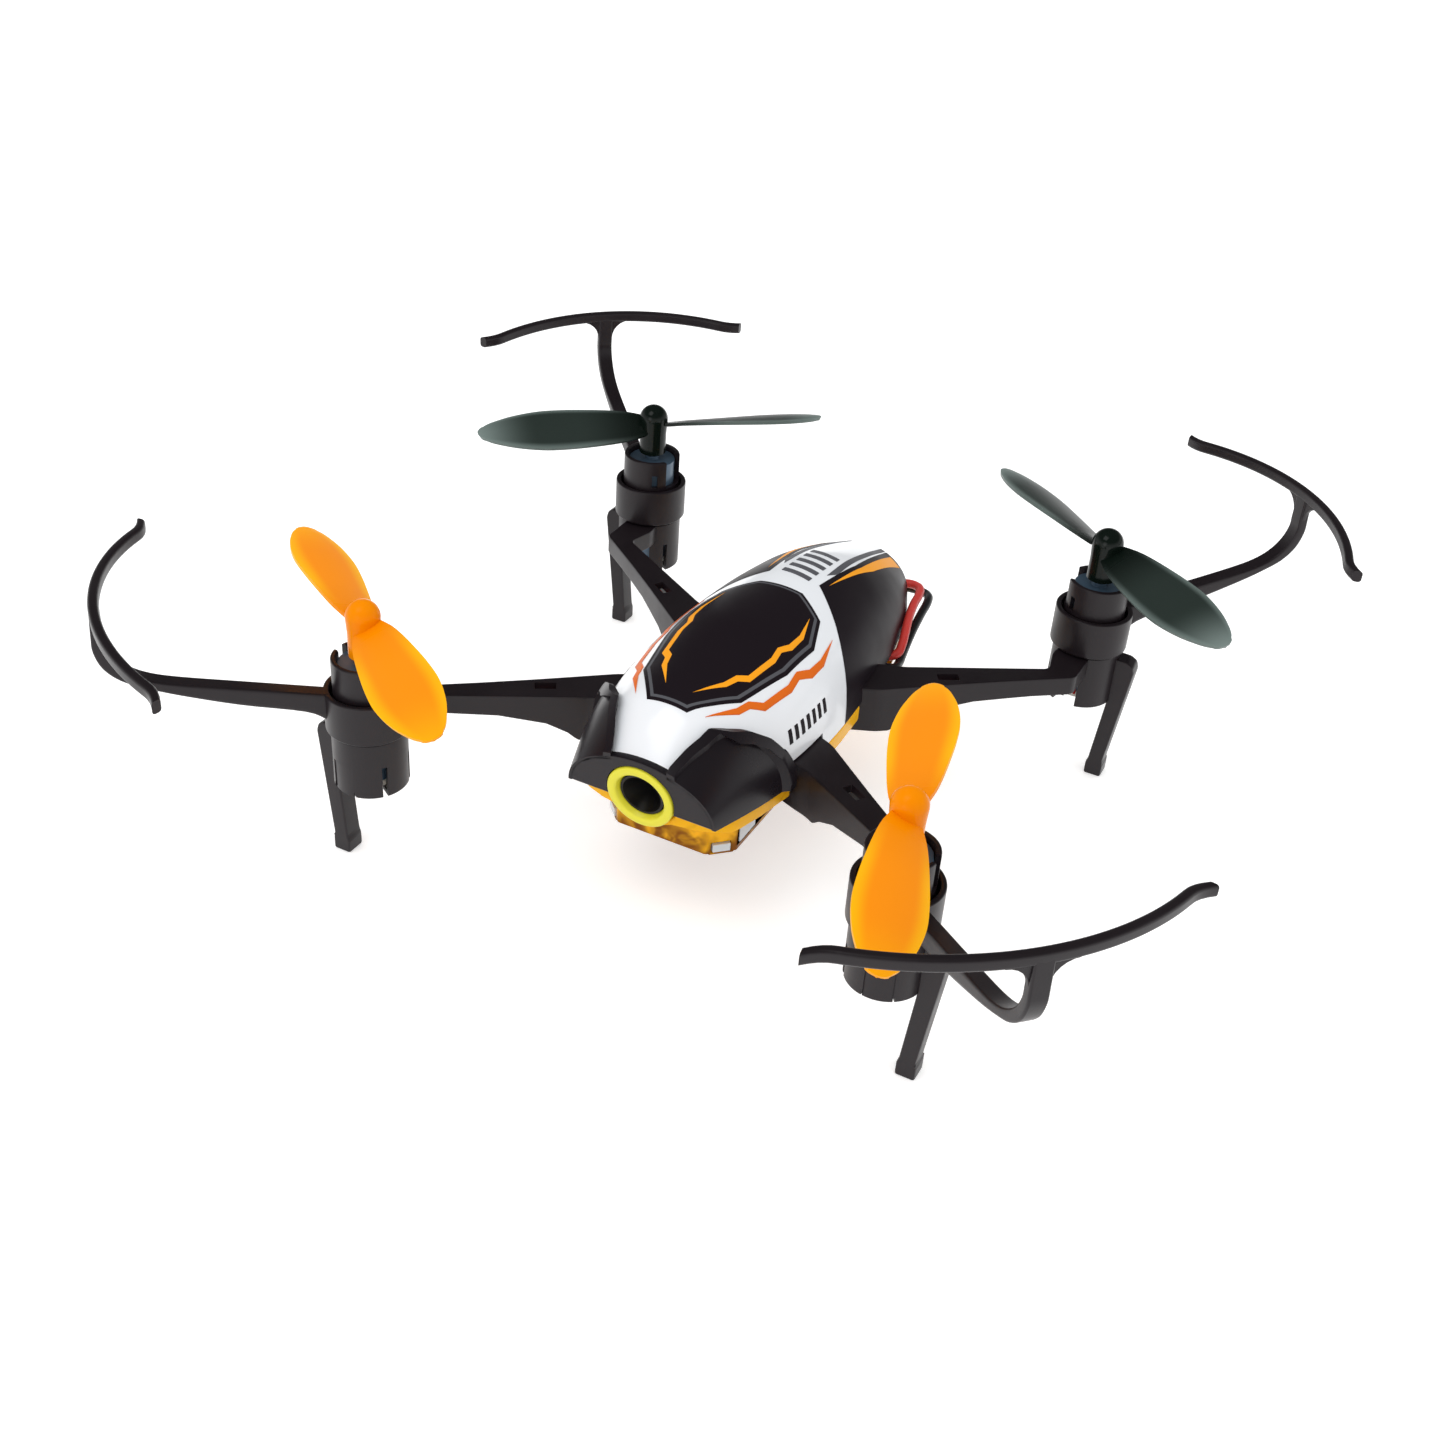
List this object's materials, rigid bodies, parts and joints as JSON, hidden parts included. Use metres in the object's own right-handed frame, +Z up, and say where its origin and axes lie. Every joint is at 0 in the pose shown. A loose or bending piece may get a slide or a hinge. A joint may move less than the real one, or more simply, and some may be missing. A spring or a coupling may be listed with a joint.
{
  "type": "fpv racing drone",
  "caption": "Small four-propeller racing drone with a camera nose, clip-on propeller guards and legs; its propellers spin on their motor shafts.",
  "frame": {"origin": "on the ground under the middle of the four motors, where the four feet stand", "axes": "+Z up, nose towards -Y, the drone's own left towards +X"},
  "size_m": [0.1394, 0.1394, 0.0429],
  "materials": {
    "frame_plastic": "satin moulded plastic",
    "orange_plastic": "smooth moulded plastic",
    "dark_green_plastic": "smooth moulded plastic",
    "motor_steel": "drawn steel",
    "white_plastic": "moulded plastic",
    "magnet": "plated magnet",
    "copper": "wound enamelled wire",
    "red_wire": "extruded insulation",
    "blue_wire": "extruded insulation",
    "black_wire": "extruded insulation",
    "canopy_plastic": "glossy moulded plastic",
    "black_plastic": "satin moulded plastic",
    "yellow_plastic": "smooth moulded plastic",
    "lens_glass": "coated glass",
    "circuit_board": "solder mask",
    "amber_plastic": "translucent moulded plastic",
    "clear_plastic": "clear moulded plastic",
    "screw_steel": "zinc-plated steel",
    "battery_wrap": "pouch foil"
  },
  "bodies": {
    "airframe": {"chassis_frame": "frame_plastic", "prop_guard_front_left": "frame_plastic", "motor_can_front_left": "motor_steel", "motor_end_cap_front_left": "white_plastic", "motor_magnet_front_left": "magnet", "motor_lead_plus_front_left": "red_wire", "motor_lead_minus_front_left": "blue_wire", "prop_guard_front_right": "frame_plastic", "motor_can_front_right": "motor_steel", "motor_end_cap_front_right": "white_plastic", "motor_magnet_front_right": "magnet", "motor_lead_plus_front_right": "red_wire", "motor_lead_minus_front_right": "blue_wire", "prop_guard_rear_left": "frame_plastic", "motor_can_rear_left": "motor_steel", "motor_end_cap_rear_left": "white_plastic", "motor_magnet_rear_left": "magnet", "motor_lead_plus_rear_left": "red_wire", "motor_lead_minus_rear_left": "blue_wire", "prop_guard_rear_right": "frame_plastic", "motor_can_rear_right": "motor_steel", "motor_end_cap_rear_right": "white_plastic", "motor_magnet_rear_right": "magnet", "motor_lead_plus_rear_right": "red_wire", "motor_lead_minus_rear_right": "blue_wire", "canopy": "canopy_plastic", "nose_hood": "black_plastic", "camera_ring": "yellow_plastic", "lens_barrel": "black_plastic", "lens_glass": "lens_glass", "camera_module": "black_plastic", "camera_board": "circuit_board", "lower_shell": "amber_plastic", "light_window_side_left": "clear_plastic", "light_window_side_right": "clear_plastic", "light_window_corner_left": "clear_plastic", "light_window_corner_right": "clear_plastic", "flight_board": "circuit_board", "board_screw_1": "screw_steel", "board_screw_2": "screw_steel", "board_screw_3": "screw_steel", "board_screw_4": "screw_steel", "battery": "battery_wrap", "battery_plug": "white_plastic", "battery_socket": "white_plastic", "battery_lead_red": "red_wire", "battery_lead_black": "black_wire"},
    "rotating_front_left": {"propeller_front_left": "orange_plastic", "motor_rotor_front_left": "copper", "motor_shaft_front_left": "motor_steel"},
    "rotating_front_right": {"propeller_front_right": "orange_plastic", "motor_rotor_front_right": "copper", "motor_shaft_front_right": "motor_steel"},
    "rotating_rear_left": {"propeller_rear_left": "dark_green_plastic", "motor_rotor_rear_left": "copper", "motor_shaft_rear_left": "motor_steel"},
    "rotating_rear_right": {"propeller_rear_right": "dark_green_plastic", "motor_rotor_rear_right": "copper", "motor_shaft_rear_right": "motor_steel"}
  },
  "joints": [
    {"name": "propeller_spin_front_left", "type": "hinge", "parent": "airframe", "child": "rotating_front_left", "pos_m": [0.0363, -0.0363, 0.0363], "axis": [0, 0, 1], "continuous": true},
    {"name": "propeller_spin_front_right", "type": "hinge", "parent": "airframe", "child": "rotating_front_right", "pos_m": [-0.0363, -0.0363, 0.0363], "axis": [0, 0, 1], "continuous": true},
    {"name": "propeller_spin_rear_left", "type": "hinge", "parent": "airframe", "child": "rotating_rear_left", "pos_m": [0.0363, 0.0363, 0.0363], "axis": [0, 0, 1], "continuous": true},
    {"name": "propeller_spin_rear_right", "type": "hinge", "parent": "airframe", "child": "rotating_rear_right", "pos_m": [-0.0363, 0.0363, 0.0363], "axis": [0, 0, 1], "continuous": true}
  ]
}
